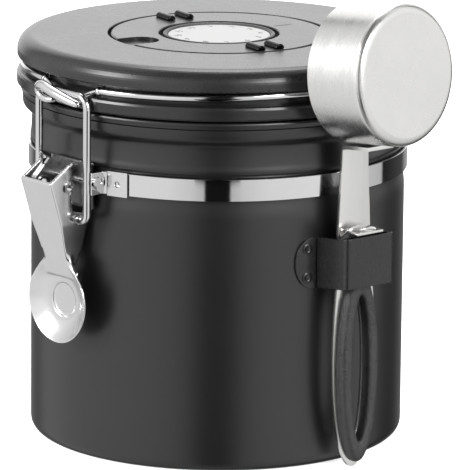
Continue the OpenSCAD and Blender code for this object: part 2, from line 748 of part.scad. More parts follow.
// One-way silicone flap with its stem and barb
module valve_flap() {
  z = valve_floor + 1.5;
  color([0.75, 0.3, 0.2]) rotate_extrude() polygon([
    [0, z - 4.2], [1.3, z - 4.2], [2.1, z - 3.6], [2.1, z - 2.9], [1.4, z - 2.7], [1.4, z + 0.1],
    [8, z + 0.1], [8, z + 0.5], [3, z + 1.1], [0, z + 1.3]
  ]);
}

// Round felt that keeps grounds out of the vents
module filter_pad() {
  z = valve_floor - 4.2;
  color([0.9, 0.9, 0.86]) difference() {
    translate([0, 0, z]) cylinder(h = 1.2, r = 11.6);
    translate([0, 0, z - 1]) cylinder(h = 4, r = 0.8, $fn = 24);
  }
}

// Perforated cap that snaps over the valve cup
module valve_grille() {
  z = valve_floor - 5.4;
  color([0.14, 0.14, 0.14]) difference() {
    translate([0, 0, z]) cylinder(h = 8.4, r = 13.3);
    translate([0, 0, z + 1.18]) cylinder(h = 8.4, r = 12.04);
    for (k = [0:5]) rotate([0, 0, 60 * k]) translate([4, 0, z - 1]) cylinder(h = 3, r = 0.9, $fn = 24);
    for (k = [0:11]) rotate([0, 0, 30 * k + 15]) translate([8, 0, z - 1]) cylinder(h = 3, r = 0.9, $fn = 24);
    translate([0, 0, z - 1]) cylinder(h = 3, r = 0.9, $fn = 24);
  }
}

// Places its children in the cup's own frame: z runs along the cup from its rim to its base
module at_cup() {
  rotate([0, 0, holder_angle]) translate([cup_x, cup_y, cup_z]) rotate([0, 0, cup_turn])
    rotate([0, 90 - cup_lean, 0]) children();
}

// Drawn steel cup
module scoop_cup() {
  r = cup_r;
  e = 2.8;
  w = cup_wall;
  color([0.8, 0.8, 0.8]) at_cup() rotate_extrude() polygon(concat(
    [[r - w, 0.3], [r - 0.45, 0], [r, 0.3]],
    arc([r - e, cup_depth - e], e, 0, 90, 8), [[0, cup_depth], [0, cup_depth - w]],
    arc([r - e, cup_depth - e], e - w, 90, 0, 8)
  ));
}

// Half width of the strip above the holder at height z
function strip_at(z) = strip_half + 1.2 * ease((102 - z) / 28);

// Height at which the strip passes into the loop
function loop_join() = loop_z + loop_up * sin(acos(2 * strip_at(holder_z) / handle_w));

// Point at angle a on an almond of half width w whose lower and upper half lengths are b and c
function almond(z, w, b, c, a) = [w * cos(a), z + (sin(a) > 0 ? c : b) * sin(a)];

// Closed almond outline
function almond_loop(z, w, b, c, n = 48) = [for (k = [0:n - 1]) almond(z, w, b, c, 360 * k / n)];

function slot_outline() = almond_loop(slot_z, slot_w / 2, slot_long, slot_long);

// Outline of the strip and of the looped end below it
function handle_outline() =
  let (tilt = asin((loop_join() - loop_z) / loop_up))
  let (right = concat(
    [[strip_half, 110], [strip_half, 102]], [for (z = [96:-6:78]) [strip_at(z), z]],
    [for (k = [0:24]) almond(loop_z, handle_w / 2, loop_z - handle_lift, loop_up, tilt - (tilt + 90) * k / 24)]
  ))
  concat(right, [for (i = [len(right) - 2:-1:0]) [-right[i].x, right[i].y]]);

// Side path of the handle, from the tab under the cup to its lower end
function handle_path() = rounded([
  [strip_x + tab_len, tab_z + tab_len * tan(cup_lean) - 0.75], [strip_x, tab_z - 0.75],
  [strip_x, holder_z + 6], [loop_x, holder_z + 2], [loop_x, handle_lift]
], 1.5, 5);

// Flat steel handle: a tab under the cup, a strip, a step and a looped end
module scoop_handle() {
  color([0.82, 0.82, 0.82]) rotate([0, 0, holder_angle]) union() {
    difference() {
      intersection() {
        rotate([90, 0, 0]) linear_extrude(2 * cup_r, center = true)
          polygon(sheet_outline(handle_path(), strip_t));
        translate([strip_x - 5, 0, 0]) rotate([90, 0, 90]) linear_extrude(30) polygon(handle_outline());
      }
      translate([loop_x - 5, 0, 0]) rotate([90, 0, 90]) linear_extrude(10) polygon(slot_outline());
    }
    stop_lug();
  }
}

// Lug raised from the strip; it hangs the scoop on the top edge of the holder's front plate
module stop_lug() {
  t = 0.9;
  z = front_top + free_gap + t / 2;
  path = rounded([[strip_x + 0.3, z - 2.4], [strip_x + 3.4, z + 0.3], [front_x - 2, z], [front_x - 0.4, z]], 1);
  rotate([90, 0, 0]) linear_extrude(11, center = true) polygon(sheet_outline(path, t));
}

// Moulded grip on the outside of the loop
module scoop_grip() {
  color([0.05, 0.05, 0.05]) rotate([0, 0, holder_angle]) difference() {
    translate([grip_x + 0.02, 0, 0]) rotate([90, 0, 90]) linear_extrude(grip_t)
      polygon(almond_loop(grip_z, grip_w / 2, grip_long, grip_long));
    translate([grip_x - 5, 0, 0]) rotate([90, 0, 90]) linear_extrude(20) polygon(slot_outline());
  }
}

canister_body();
clamp_band();
clinch_plates();
latch_bracket();
band_pin();
lever_rivets();
hinge_bracket();
hinge_pin();
scoop_holder();
holder_rivets();
latch_lever();
latch_bail();
bail_hook();
lid_cap();
lid_base();
lid_gasket();
lid_ring();
lid_screws();
dial_bezel();
date_dial();
date_ring();
ring_grips();
ring_pointer();
valve_seat();
valve_flap();
filter_pad();
valve_grille();
scoop_cup();
scoop_handle();
scoop_grip();
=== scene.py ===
import math

import bpy
from mathutils import Matrix, Vector


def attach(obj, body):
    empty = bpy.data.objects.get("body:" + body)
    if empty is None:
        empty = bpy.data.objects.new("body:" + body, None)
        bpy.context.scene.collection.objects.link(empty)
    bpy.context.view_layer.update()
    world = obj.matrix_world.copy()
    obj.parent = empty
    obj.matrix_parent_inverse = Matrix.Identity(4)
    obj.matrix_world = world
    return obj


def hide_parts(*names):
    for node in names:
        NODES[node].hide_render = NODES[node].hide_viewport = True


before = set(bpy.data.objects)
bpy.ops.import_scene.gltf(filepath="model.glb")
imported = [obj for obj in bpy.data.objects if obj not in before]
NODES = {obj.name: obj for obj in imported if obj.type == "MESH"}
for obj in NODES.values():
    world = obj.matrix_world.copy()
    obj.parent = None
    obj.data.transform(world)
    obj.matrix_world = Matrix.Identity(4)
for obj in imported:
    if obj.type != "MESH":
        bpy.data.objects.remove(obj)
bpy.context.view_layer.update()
MM = 0.001
TAU = math.tau

# Sizes and places in millimetres: Z is up, the latch is at -Y, the scoop at +X
BODY_R = 60.0  # outside of the body
RIM_Z = 110.4  # under side of the rolled rim
BAND_Z, BAND_TOP = 87.6, 94.6
BAND_R, BAND_OUTER = 60.25, 60.9
TAB_X, TAB_R, TAB_T = 13.35, 60.3, 0.6  # the band's folded ends
PIVOT_Y, PIVOT_Z = -69, 89.4  # rivets of the lever
FOOT_Y, FOOT_Z = -65.25, 78.8  # feet of the bail in the lever
DISH_Y, DISH_Z, DISH_R = -67.9, 51.7, 13.6  # thumb dish of the lever
PAD_R, BOWL_DROP = 5.9, 3.0  # raised middle of the dish, and the bowl's depth
LEVER_W, LEVER_T = 18, 1  # width that the lever is cut from, and its sheet
WIRE_LOOP, WIRE_R = 62.7, 1.15  # lid wire
EYE_X, HINGE_Y, HINGE_Z = 7.0, 68, 112  # eyes of the lid wire on the hinge pin
HOLDER_TURN = -2.2  # degrees about Z from +X to the scoop's holder
HOLDER_Z0, HOLDER_Z1 = 58.5, 74.7
STRIP_X, LOOP_X, GRIP_X = 66.4, 67.1, 67.72  # outward places of the handle's strip, its loop and the grip
STRIP_T = 1.2
SLOT_Z, SLOT_W, SLOT_H = 33, 3.45, 23.6  # slot of the loop: middle, half width and half height
LUG_X, LUG_Z = 70.6, 77.1  # dome of the stop lug
RING_TOP, DIAL_TOP = 129.52, 128.94
DIGIT_R, DIGIT_SIZE = 13.4, 3.0


# Modelling helpers

def rad(a):
    return math.radians(a)


def deselect():
    if bpy.context.object and bpy.context.object.mode != "OBJECT":
        bpy.ops.object.mode_set(mode="OBJECT")
    bpy.ops.object.select_all(action="DESELECT")


def edit(o):
    deselect()
    bpy.context.view_layer.objects.active = o
    o.select_set(True)
    bpy.ops.object.mode_set(mode="EDIT")
    bpy.ops.mesh.select_all(action="SELECT")


def done(o, angle=30):
    bpy.ops.object.mode_set(mode="OBJECT")
    bpy.ops.object.shade_smooth_by_angle(angle=rad(angle))
    return o


def chain(name, points):
    """A row of joined vertices through points given in millimetres, left selected in edit mode."""
    deselect()
    bpy.ops.mesh.primitive_plane_add(size=MM)
    o = bpy.context.object
    o.name = o.data.name = name
    bpy.ops.object.mode_set(mode="EDIT")
    bpy.ops.mesh.select_all(action="SELECT")
    bpy.ops.mesh.merge(type="CENTER")
    at = Vector((0, 0, 0))
    for k, p in enumerate(points):
        step = (Vector(p) - at) * MM
        at = Vector(p)
        if k == 0:
            bpy.ops.transform.translate(value=step)
        else:
            bpy.ops.mesh.extrude_region_move(TRANSFORM_OT_translate={"value": step})
    return o


def weld(o, gap=0.002):
    bpy.ops.mesh.select_all(action="SELECT")
    bpy.ops.mesh.remove_doubles(threshold=gap * MM)
    bpy.ops.mesh.normals_make_consistent(inside=False)


def lathe(name, profile, steps=144, closed=True, turn=360.0, angle=30):
    """A profile of (radius, height) turned about Z."""
    pts = [(r, 0, z) for r, z in profile]
    if closed and pts[0][0] > 0.001:
        pts.append(pts[0])
    o = chain(name, pts)
    bpy.ops.mesh.select_all(action="SELECT")
    bpy.ops.mesh.spin(steps=steps, angle=rad(turn), center=(0, 0, 0), axis=(0, 0, 1))
    weld(o)
    return done(o, angle)


def slab(name, outline, depth):
    """A flat closed outline pushed along the vector depth, in millimetres."""
    o = chain(name, outline)
    bpy.ops.mesh.select_all(action="SELECT")
    bpy.ops.mesh.edge_face_add()
    bpy.ops.mesh.extrude_region_move(TRANSFORM_OT_translate={"value": Vector(depth) * MM})
    weld(o, 0.0001)
    return done(o)


def move(o, by=(0, 0, 0), turns=()):
    """Turns the whole mesh about the origin, then moves it; the object itself stays at the origin."""
    edit(o)
    for axis, a in turns:
        bpy.ops.transform.rotate(value=-rad(a), orient_axis=axis, orient_type="GLOBAL", center_override=(0, 0, 0))
    bpy.ops.transform.translate(value=Vector(by) * MM)
    bpy.ops.object.mode_set(mode="OBJECT")
    return o


def copy_of(o, name):
    deselect()
    bpy.context.view_layer.objects.active = o
    o.select_set(True)
    bpy.ops.object.duplicate(linked=False)
    c = bpy.context.object
    c.name = c.data.name = name
    return c


def join(objs, name):
    deselect()
    for o in objs:
        o.select_set(True)
    bpy.context.view_layer.objects.active = objs[0]
    bpy.ops.object.join()
    o = bpy.context.object
    o.name = o.data.name = name
    return o


def apply(o, kind, **settings):
    deselect()
    bpy.context.view_layer.objects.active = o
    o.select_set(True)
    m = o.modifiers.new(kind.lower(), kind)
    for k, v in settings.items():
        setattr(m, k, v)
    bpy.ops.object.modifier_apply(modifier=m.name)
    return o


def bevel(o, width, segments=2, limit=30):
    apply(o, "BEVEL", width=width * MM, segments=segments, limit_method="ANGLE", angle_limit=rad(limit),
          harden_normals=False)
    bpy.ops.object.shade_smooth_by_angle(angle=rad(35))
    return o


def cut(o, *cutters):
    for c in cutters:
        apply(o, "BOOLEAN", operation="DIFFERENCE", solver="EXACT", object=c)
        bpy.data.objects.remove(c)
    deselect()
    bpy.context.view_layer.objects.active = o
    o.select_set(True)
    bpy.ops.object.shade_smooth_by_angle(angle=rad(35))
    return o


def keep(o, other, operation="INTERSECT"):
    apply(o, "BOOLEAN", operation=operation, solver="EXACT", object=other)
    bpy.data.objects.remove(other)
    return o


def flow(points, n=8):
    """A smooth path through points of any length, n steps between two of them."""
    pts = [Vector(points[0])] + [Vector(p) for p in points] + [Vector(points[-1])]
    out = []
    for i in range(1, len(pts) - 2):
        a, b, c, d = pts[i - 1:i + 3]
        for k in range(n):
            t = k / n
            bend = (a * 2 - b * 5 + c * 4 - d) * t * t + (b * 3 - a - c * 3 + d) * t ** 3
            out.append(b + ((c - a) * t + bend) / 2)
    return out + [pts[-1]]


def wire(name, path, sides=8, cyclic=False):
    """A round wire along (x, y, z, radius) points; its ends are closed."""
    chain(name, [p[:3] for p in path])
    bpy.ops.object.mode_set(mode="OBJECT")
    bpy.ops.object.convert(target="CURVE")
    o = bpy.context.object
    o.data.bevel_depth = MM
    o.data.bevel_resolution = sides
    o.data.use_fill_caps = True
    for k, p in enumerate(path):
        o.data.splines[0].points[k].radius = p[3]
    o.data.splines[0].use_cyclic_u = cyclic
    bpy.ops.object.convert(target="MESH")
    o = bpy.context.object
    o.name = o.data.name = name
    bpy.ops.object.shade_smooth_by_angle(angle=rad(50))
    return o


def weigh(o, name, test):
    """A vertex group of the vertices whose place in millimetres passes a test."""
    g = o.vertex_groups.new(name=name)
    g.add([v.index for v in o.data.vertices if test(v.co / MM)], 1.0, "REPLACE")
    return name


def cyl(name, r, h, at=(0, 0, 0), turns=(), sides=48, cone=None):
    """A cylinder of radius r from z = 0 to h, then turned and moved."""
    deselect()
    bpy.ops.mesh.primitive_cone_add(vertices=sides, radius1=r * MM, radius2=(r if cone is None else cone) * MM,
                                    depth=h * MM, location=(0, 0, 0))
    o = bpy.context.object
    o.name = o.data.name = name
    edit(o)
    bpy.ops.transform.translate(value=(0, 0, h / 2 * MM))
    bpy.ops.object.mode_set(mode="OBJECT")
    bpy.ops.object.shade_smooth_by_angle(angle=rad(35))
    return move(o, at, turns)


def arc(cx, cy, r, a0, a1, n=8):
    return [(cx + r * math.cos(rad(a0 + (a1 - a0) * k / n)), cy + r * math.sin(rad(a0 + (a1 - a0) * k / n)))
            for k in range(n + 1)]


def ease(t):
    return (1 - math.cos(math.pi * max(0.0, min(1.0, t)))) / 2


def rounded(path, r, n=8):
    """A path whose inner corners are rounded with radius r, or with a list of radii."""
    path = [Vector(p) for p in path]
    out = [path[0]]
    for i in range(1, len(path) - 1):
        ri = r[i - 1] if isinstance(r, (list, tuple)) else r
        a, p, b = path[i - 1], path[i], path[i + 1]
        u, v = (a - p).normalized(), (b - p).normalized()
        half = u.angle(v) / 2
        t = ri / math.tan(half)
        c = p + (u + v).normalized() * ri / math.sin(half)
        s, e = p + u * t - c, p + v * t - c
        sweep = s.angle(e)
        for k in range(n + 1):
            f = k / n
            out.append(c + (math.sin((1 - f) * sweep) * s + math.sin(f * sweep) * e) / math.sin(sweep))
    out.append(path[-1])
    return out


def ribbon(path, t):
    """Outline of a bent sheet of thickness t along a path of 2-D points."""
    pts = [Vector(p) for p in path]
    left, right = [], []
    for i, p in enumerate(pts):
        a = (pts[max(i, 1)] - pts[max(i, 1) - 1]).normalized()
        b = (pts[min(i, len(pts) - 2) + 1] - pts[min(i, len(pts) - 2)]).normalized()
        m = (a + b).normalized()
        side = Vector((-m.y, m.x)) / m.dot(a) * t / 2
        left.append(p + side)
        right.append(p - side)
    return left + right[::-1]


def yz(points, x):
    """Outline points given as (outward, up) in front of the body, at x."""
    return [(x, -a, b) for a, b in points]


# Materials

def sock(group, name, kind, way, value=None):
    s = group.interface.new_socket(name=name, in_out=way, socket_type=kind)
    if value is not None:
        s.default_value = value
    return s


def link(t, a, b):
    t.links.new(a, b)


def noise(t, vector, scale, detail=3.0, rough=0.5):
    n = t.nodes.new("ShaderNodeTexNoise")
    n.inputs["Scale"].default_value = scale
    n.inputs["Detail"].default_value = detail
    n.inputs["Roughness"].default_value = rough
    link(t, vector, n.inputs["Vector"])
    return n.outputs["Fac"]


def maths(t, op, a, b=None, clamp=False):
    n = t.nodes.new("ShaderNodeMath")
    n.operation = op
    n.use_clamp = clamp
    for k, v in enumerate((a, b)):
        if v is None:
            continue
        if isinstance(v, (int, float)):
            n.inputs[k].default_value = v
        else:
            link(t, v, n.inputs[k])
    return n.outputs[0]


def spread(t, value, lo, hi, a, b):
    n = t.nodes.new("ShaderNodeMapRange")
    n.inputs["From Min"].default_value = lo
    n.inputs["From Max"].default_value = hi
    for key, v in (("To Min", a), ("To Max", b)):
        if isinstance(v, (int, float)):
            n.inputs[key].default_value = v
        else:
            link(t, v, n.inputs[key])
    link(t, value, n.inputs["Value"])
    return n.outputs["Result"]


def mix(t, f, a, b):
    n = t.nodes.new("ShaderNodeMix")
    n.data_type = "RGBA"
    for k, v in ((0, f), (6, a), (7, b)):
        if isinstance(v, (int, float, tuple)):
            n.inputs[k].default_value = v
        else:
            link(t, v, n.inputs[k])
    return n.outputs[2]


def surface_group():
    """Moulded or coated surface: slow mottling and fine grain."""
    g = bpy.data.node_groups.new("surface", "ShaderNodeTree")
    sock(g, "Vector", "NodeSocketVector", "INPUT")
    sock(g, "Color", "NodeSocketColor", "INPUT", (0.5, 0.5, 0.5, 1))
    sock(g, "Roughness", "NodeSocketFloat", "INPUT", 0.4)
    sock(g, "Mottle", "NodeSocketFloat", "INPUT", 0.2)
    sock(g, "Patchy", "NodeSocketFloat", "INPUT", 0.1)
    sock(g, "Grain Scale", "NodeSocketFloat", "INPUT", 2500.0)
    sock(g, "Color", "NodeSocketColor", "OUTPUT")
    sock(g, "Roughness", "NodeSocketFloat", "OUTPUT")
    sock(g, "Height", "NodeSocketFloat", "OUTPUT")
    a = g.nodes.new("NodeGroupInput").outputs
    o = g.nodes.new("NodeGroupOutput").inputs
    slow = noise(g, a["Vector"], 45, 4, 0.6)
    mid = noise(g, a["Vector"], 420, 3, 0.6)
    fine = g.nodes.new("ShaderNodeTexNoise")
    fine.inputs["Detail"].default_value = 2
    link(g, a["Vector"], fine.inputs["Vector"])
    link(g, a["Grain Scale"], fine.inputs["Scale"])
    shift = maths(g, "MULTIPLY", maths(g, "SUBTRACT", maths(g, "ADD", slow, mid), 1.0), a["Mottle"])
    n = g.nodes.new("ShaderNodeHueSaturation")
    link(g, a["Color"], n.inputs["Color"])
    link(g, maths(g, "ADD", shift, 1.0), n.inputs["Value"])
    link(g, n.outputs[0], o["Color"])
    wobble = maths(g, "MULTIPLY", maths(g, "SUBTRACT", slow, 0.5), a["Patchy"])
    speck = maths(g, "MULTIPLY", maths(g, "SUBTRACT", mid, 0.5), a["Patchy"])
    link(g, maths(g, "ADD", maths(g, "ADD", a["Roughness"], wobble), speck, clamp=True), o["Roughness"])
    link(g, maths(g, "ADD", fine.outputs["Fac"], maths(g, "MULTIPLY", mid, 0.5)), o["Height"])
    return g


def brushed_group():
    """Brushed steel: streaks that are long across the first axis given by Stretch."""
    g = bpy.data.node_groups.new("brushed", "ShaderNodeTree")
    sock(g, "Vector", "NodeSocketVector", "INPUT")
    sock(g, "Stretch", "NodeSocketVector", "INPUT", (1, 1, 1))
    sock(g, "Color", "NodeSocketColor", "INPUT", (0.6, 0.6, 0.6, 1))
    sock(g, "Roughness", "NodeSocketFloat", "INPUT", 0.3)
    sock(g, "Streaks", "NodeSocketFloat", "INPUT", 0.15)
    sock(g, "Color", "NodeSocketColor", "OUTPUT")
    sock(g, "Roughness", "NodeSocketFloat", "OUTPUT")
    sock(g, "Height", "NodeSocketFloat", "OUTPUT")
    a = g.nodes.new("NodeGroupInput").outputs
    o = g.nodes.new("NodeGroupOutput").inputs
    v = g.nodes.new("ShaderNodeVectorMath")
    v.operation = "MULTIPLY"
    link(g, a["Vector"], v.inputs[0])
    link(g, a["Stretch"], v.inputs[1])
    lines = noise(g, v.outputs[0], 900, 5, 0.65)
    broad = noise(g, v.outputs[0], 160, 3, 0.5)
    slow = noise(g, a["Vector"], 60, 3, 0.6)
    both = maths(g, "SUBTRACT", maths(g, "ADD", lines, broad), 1.0)
    n = g.nodes.new("ShaderNodeHueSaturation")
    link(g, a["Color"], n.inputs["Color"])
    link(g, maths(g, "ADD", maths(g, "MULTIPLY", both, a["Streaks"]), 1.0), n.inputs["Value"])
    link(g, n.outputs[0], o["Color"])
    s = maths(g, "MULTIPLY", maths(g, "ADD", both, maths(g, "SUBTRACT", slow, 0.5)), a["Streaks"])
    link(g, maths(g, "ADD", a["Roughness"], s, clamp=True), o["Roughness"])
    link(g, lines, o["Height"])
    return g


SURFACE = surface_group()
BRUSHED = brushed_group()


def material(name, group, bump=0.0, bump_distance=0.00002, metallic=0.0, ior=1.5, extra=None, **values):
    m = bpy.data.materials.new(name)
    m.use_nodes = True
    t = m.node_tree
    t.nodes.clear()
    out = t.nodes.new("ShaderNodeOutputMaterial")
    b = t.nodes.new("ShaderNodeBsdfPrincipled")
    link(t, b.outputs[0], out.inputs[0])
    c = t.nodes.new("ShaderNodeTexCoord")
    g = t.nodes.new("ShaderNodeGroup")
    g.node_tree = group
    link(t, c.outputs["Object"], g.inputs["Vector"])
    for k, v in values.items():
        key = k.replace("_", " ")
        g.inputs[key].default_value = (v[0], v[1], v[2], 1) if key == "Color" else v
    link(t, g.outputs["Color"], b.inputs["Base Color"])
    link(t, g.outputs["Roughness"], b.inputs["Roughness"])
    b.inputs["Metallic"].default_value = metallic
    b.inputs["IOR"].default_value = ior
    if bump:
        n = t.nodes.new("ShaderNodeBump")
        n.inputs["Strength"].default_value = bump
        n.inputs["Distance"].default_value = bump_distance
        link(t, g.outputs["Height"], n.inputs["Height"])
        link(t, n.outputs[0], b.inputs["Normal"])
    if extra:
        extra(t, b, g, c)
    return m


coat_black = material("coat_black", SURFACE, bump=0.3, ior=1.58, Color=(0.004, 0.004, 0.0042), Roughness=0.33,
                      Mottle=0.25, Patchy=0.05, Grain_Scale=2600)
holder_black = material("holder_black", SURFACE, bump=0.5, Color=(0.009, 0.009, 0.0095), Roughness=0.27,
                        Mottle=0.25, Patchy=0.08, Grain_Scale=2200)
cap_black = material("cap_black", SURFACE, bump=0.45, Color=(0.015, 0.0147, 0.0147), Roughness=0.28,
                     Mottle=0.2, Patchy=0.06, Grain_Scale=3000)
skirt_black = material("skirt_black", SURFACE, bump=0.12, Color=(0.011, 0.011, 0.0115), Roughness=0.24,
                       Mottle=0.2, Patchy=0.08, Grain_Scale=1800)
gloss_black = material("gloss_black", SURFACE, bump=0.1, ior=1.28, Color=(0.004, 0.004, 0.004), Roughness=0.14,
                       Mottle=0.2, Patchy=0.06, Grain_Scale=1500)
grip_black = material("grip_black", SURFACE, bump=1.0, bump_distance=0.0003, Color=(0.02, 0.02, 0.02),
                      Roughness=0.45, Mottle=1.3, Patchy=0.25, Grain_Scale=1500)
seal_dark = material("seal_dark", SURFACE, bump=0.3, Color=(0.02, 0.02, 0.02), Roughness=0.6, Mottle=0.2,
                     Patchy=0.1, Grain_Scale=1500)
trim_grey = material("trim_grey", SURFACE, bump=0.1, Color=(0.02, 0.02, 0.02), Roughness=0.4, Mottle=0.1,
                     Patchy=0.08, Grain_Scale=2000)
dial_white = material("dial_white", SURFACE, bump=0.08, Color=(0.44, 0.44, 0.437), Roughness=0.45, Mottle=0.02,
                      Patchy=0.06, Grain_Scale=2000)
print_grey = material("print_grey", SURFACE, Color=(0.07, 0.07, 0.072), Roughness=0.5, Mottle=0.1, Patchy=0.05,
                      Grain_Scale=2000)
felt_white = material("felt_white", SURFACE, bump=0.9, bump_distance=0.0001, Color=(0.75, 0.74, 0.7),
                      Roughness=0.9, Mottle=0.1, Patchy=0.1, Grain_Scale=900)
silicone = material("silicone", SURFACE, bump=0.1, Color=(0.5, 0.12, 0.07), Roughness=0.4, Mottle=0.1,
                    Patchy=0.1, Grain_Scale=900)
chrome = material("chrome", BRUSHED, bump=0.02, metallic=1.0, Color=(0.62, 0.62, 0.625), Roughness=0.07,
                  Streaks=0.04, Stretch=(0.3, 0.3, 1.5))
pressed = material("pressed", BRUSHED, bump=0.05, metallic=1.0, Color=(0.6, 0.6, 0.605), Roughness=0.2,
                   Streaks=0.08, Stretch=(0.5, 0.5, 1.0))
lever_steel = material("lever_steel", BRUSHED, bump=0.03, metallic=1.0, Color=(0.62, 0.62, 0.625), Roughness=0.19,
                       Streaks=0.08, Stretch=(0.6, 0.6, 1.0))
dull_steel = material("dull_steel", BRUSHED, bump=0.05, metallic=1.0, Color=(0.66, 0.66, 0.66), Roughness=0.42,
                      Streaks=0.1, Stretch=(1, 1, 1))
band_steel = material("band_steel", BRUSHED, bump=0.02, metallic=1.0, Color=(0.63, 0.63, 0.635), Roughness=0.06,
                      Streaks=0.04, Stretch=(0.15, 0.15, 1.6))
cup_steel = material("cup_steel", BRUSHED, bump=0.12, metallic=1.0, Color=(0.66, 0.655, 0.645), Roughness=0.27,
                     Streaks=0.13, Stretch=(1.6, 0.25, 0.25))
strip_steel = material("strip_steel", BRUSHED, bump=0.08, metallic=1.0, Color=(0.64, 0.635, 0.625),
                       Roughness=0.24, Streaks=0.08, Stretch=(1, 1, 0.12))


def finish_piece(o, mat, body, slot, *nodes):
    o.data.materials.clear()
    o.data.materials.append(mat)
    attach(o, body)
    if nodes:
        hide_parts(*nodes)
    return o


# Body

outside = [(0, 1.2), (51, 1.2), (52.2, 0.95), (53.2, 0.15), (54.4, 0)]
outside += arc(56.2, 3.8, 3.8, -90, 0, 10)
outside += [(BODY_R, z) for z in (20, 50, 70, 80.6)]
outside += [(59.96, 82), (59.86, 83.4), (59.7, 84.8), (59.5, 86.2), (59.4, 87.6), (59.6, 90), (59.75, 95.2),
            (59.95, 95.7), (60.25, 96.2), (60.3, 96.9), (60.1, 97.7), (59.97, 98.8), (59.9, 101),
            (59.78, 103.2), (59.82, 104.0)]
outside += [(59.85 + 2.85 * ease(k / 8), 104.2 + 3.6 * k / 8) for k in range(1, 9)]
outside += [(62.78, 108.6), (62.8, 109.6), (62.8, RIM_Z)]
inside = [(62.0, RIM_Z), (61.9, 108.2)]
inside += [(59.05 + 2.8 * ease(k / 8), 103.8 + 3.8 * k / 8) for k in range(8, 0, -1)]
inside += [(59.1, 100), (59.2, 96), (58.9, 95), (58.6, 87), (59.2, 81), (59.2, 4)]
inside += arc(56.2, 3.8, 3.0, 0, -90, 8)
inside += [(54.4, 0.8), (52.6, 1.7), (51, 2.0), (0, 2.0)]
rim = arc(62.2, 111.2, 0.8, -90, 0, 4) + arc(62.4, 112.1, 1.0, 0, 90, 6)
rim += arc(61.4, 112.1, 1.0, 90, 180, 6) + [(60.4, 111.2)] + arc(61.2, 111.2, 0.8, 180, 270, 4)
body = lathe("body_shell", outside + inside, 180)
rim_bead = lathe("body_rim", rim, 180)
body = join([body, rim_bead], "body_shell")
finish_piece(body, coat_black, "canister", "black_paint", "canister_body")

# Band, latch lever, bail hook and lid wire

EDGE = 0.12
half_gap = math.degrees(math.asin(TAB_X / TAB_R))
section = [(BAND_R, BAND_Z), (BAND_OUTER - EDGE, BAND_Z), (BAND_OUTER, BAND_Z + EDGE),
           (BAND_OUTER, BAND_TOP - EDGE), (BAND_OUTER - EDGE, BAND_TOP), (BAND_R, BAND_TOP)]
band = lathe("band_strip", section, 170, turn=360 - 2 * half_gap)
move(band, turns=[("Z", -half_gap - 90)])
tabs = []
for s in (-1, 1):
    x = s * TAB_X
    path = rounded([(x + s * 1.2, 59.4), (x, 60.2), (x, 65.1)], 0.7, 4)
    tab = slab("tab", [(p.x, -p.y, BAND_Z) for p in ribbon(path, TAB_T)], (0, 0, BAND_TOP - BAND_Z))
    tabs.append(bevel(tab, EDGE))
band = join([band] + tabs, "band_strip")
finish_piece(band, band_steel, "canister", "chrome_steel", "clamp_band")

LEVER_SIDE = [(76.6, 91.6), (68.4, 96.9), (67.7, 94.0)]
LEVER_SIDE += [(-PIVOT_Y - x, PIVOT_Z + z) for x, z in arc(0, 0, 2.5, 58, -58, 8)]
LEVER_SIDE += [(67.8, 86.0), (67.8, 83.0), (67.0, 81.5), (63.65, 80.9), (61.55, 80.7), (61.25, 76.8), (62.2, 68.8),
               (64.0, 63.9), (66.2, 62.9), (67.5, 62.9)]
LEVER_FRONT = [(5.1, 62), (6.1, 70.8), (7.3, 77.5), (7.3, 98.4)]


def front_prism(half):
    """Prism of the lever's front outline, its half widths given from below."""
    right = [(half(x), z) for x, z in LEVER_FRONT]
    return slab("prism", [(x, -50, z) for x, z in right + [(-x, z) for x, z in right[::-1]]], (0, -40, 0))


lever = slab("lever_channel", yz(LEVER_SIDE, -LEVER_W / 2), (LEVER_W, 0, 0))
keep(lever, front_prism(lambda x: x))
HOLLOW_SIDE = [(65.83, 65.5), (80.38, 104.65), (55, 105.6), (55, 65.5)]
hollow = slab("hollow", yz(HOLLOW_SIDE, -LEVER_W / 2), (LEVER_W, 0, 0))
keep(hollow, front_prism(lambda x: x - LEVER_T))
keep(lever, hollow, "DIFFERENCE")
bowl = [(PAD_R + 7.1 * k / 8, -0.1 - BOWL_DROP * math.cos(rad(11.25 * k))) for k in range(9)]
section = [(0, -3.8), (4.8, -3.8), (5.3, -3.7), (5.6, -3.2)] + bowl
section += [(DISH_R - 0.2, 0.1), (DISH_R, -0.3), (DISH_R - 0.1, -0.9)]
section += [(r, z - LEVER_T) for r, z in bowl[::-1]] + [(5.0, -4.7), (0, -4.7)]
dish = lathe("dish", section, 120)
move(dish, (0, DISH_Y, DISH_Z), [("X", 90)])
NECK_SIDE = [(67.45, 67.5), (67.7, 65), (67.3, 62), (66.3, 59.4), (65.3, 59.4), (66.2, 62), (66.5, 65),
             (66.4, 67.5)]
NECK_FRONT = [(5.6, 67.6), (6.2, 65.6), (7.6, 63.8), (9.6, 62), (6, 58)]
neck = slab("neck", yz(NECK_SIDE, -12), (24, 0, 0))
NECK_FRONT += [(-x, z) for x, z in NECK_FRONT[::-1]]
keep(neck, slab("flare", [(x, -50, z) for x, z in NECK_FRONT], (0, -40, 0)))
keep(lever, dish, "UNION")
keep(lever, neck, "UNION")
cut(lever, cyl("hole", 1.55, 20, (-10, PIVOT_Y, PIVOT_Z), [("Y", 90)]),
    cyl("hole", 1.3, 20, (-10, FOOT_Y, FOOT_Z), [("Y", 90)]))
apply(lever, "REMESH", mode="VOXEL", voxel_size=0.24 * MM)
apply(lever, "SMOOTH", factor=0.5, iterations=5)
near_neck = weigh(lever, "neck", lambda v: 57.5 < v.z < 68.5 and v.y < -64.2 and abs(v.x) < 12)
apply(lever, "SMOOTH", factor=0.5, iterations=45, vertex_group=near_neck)
lever.vertex_groups.clear()
bpy.ops.object.shade_smooth_by_angle(angle=rad(60))
lever.name = lever.data.name = "lever"
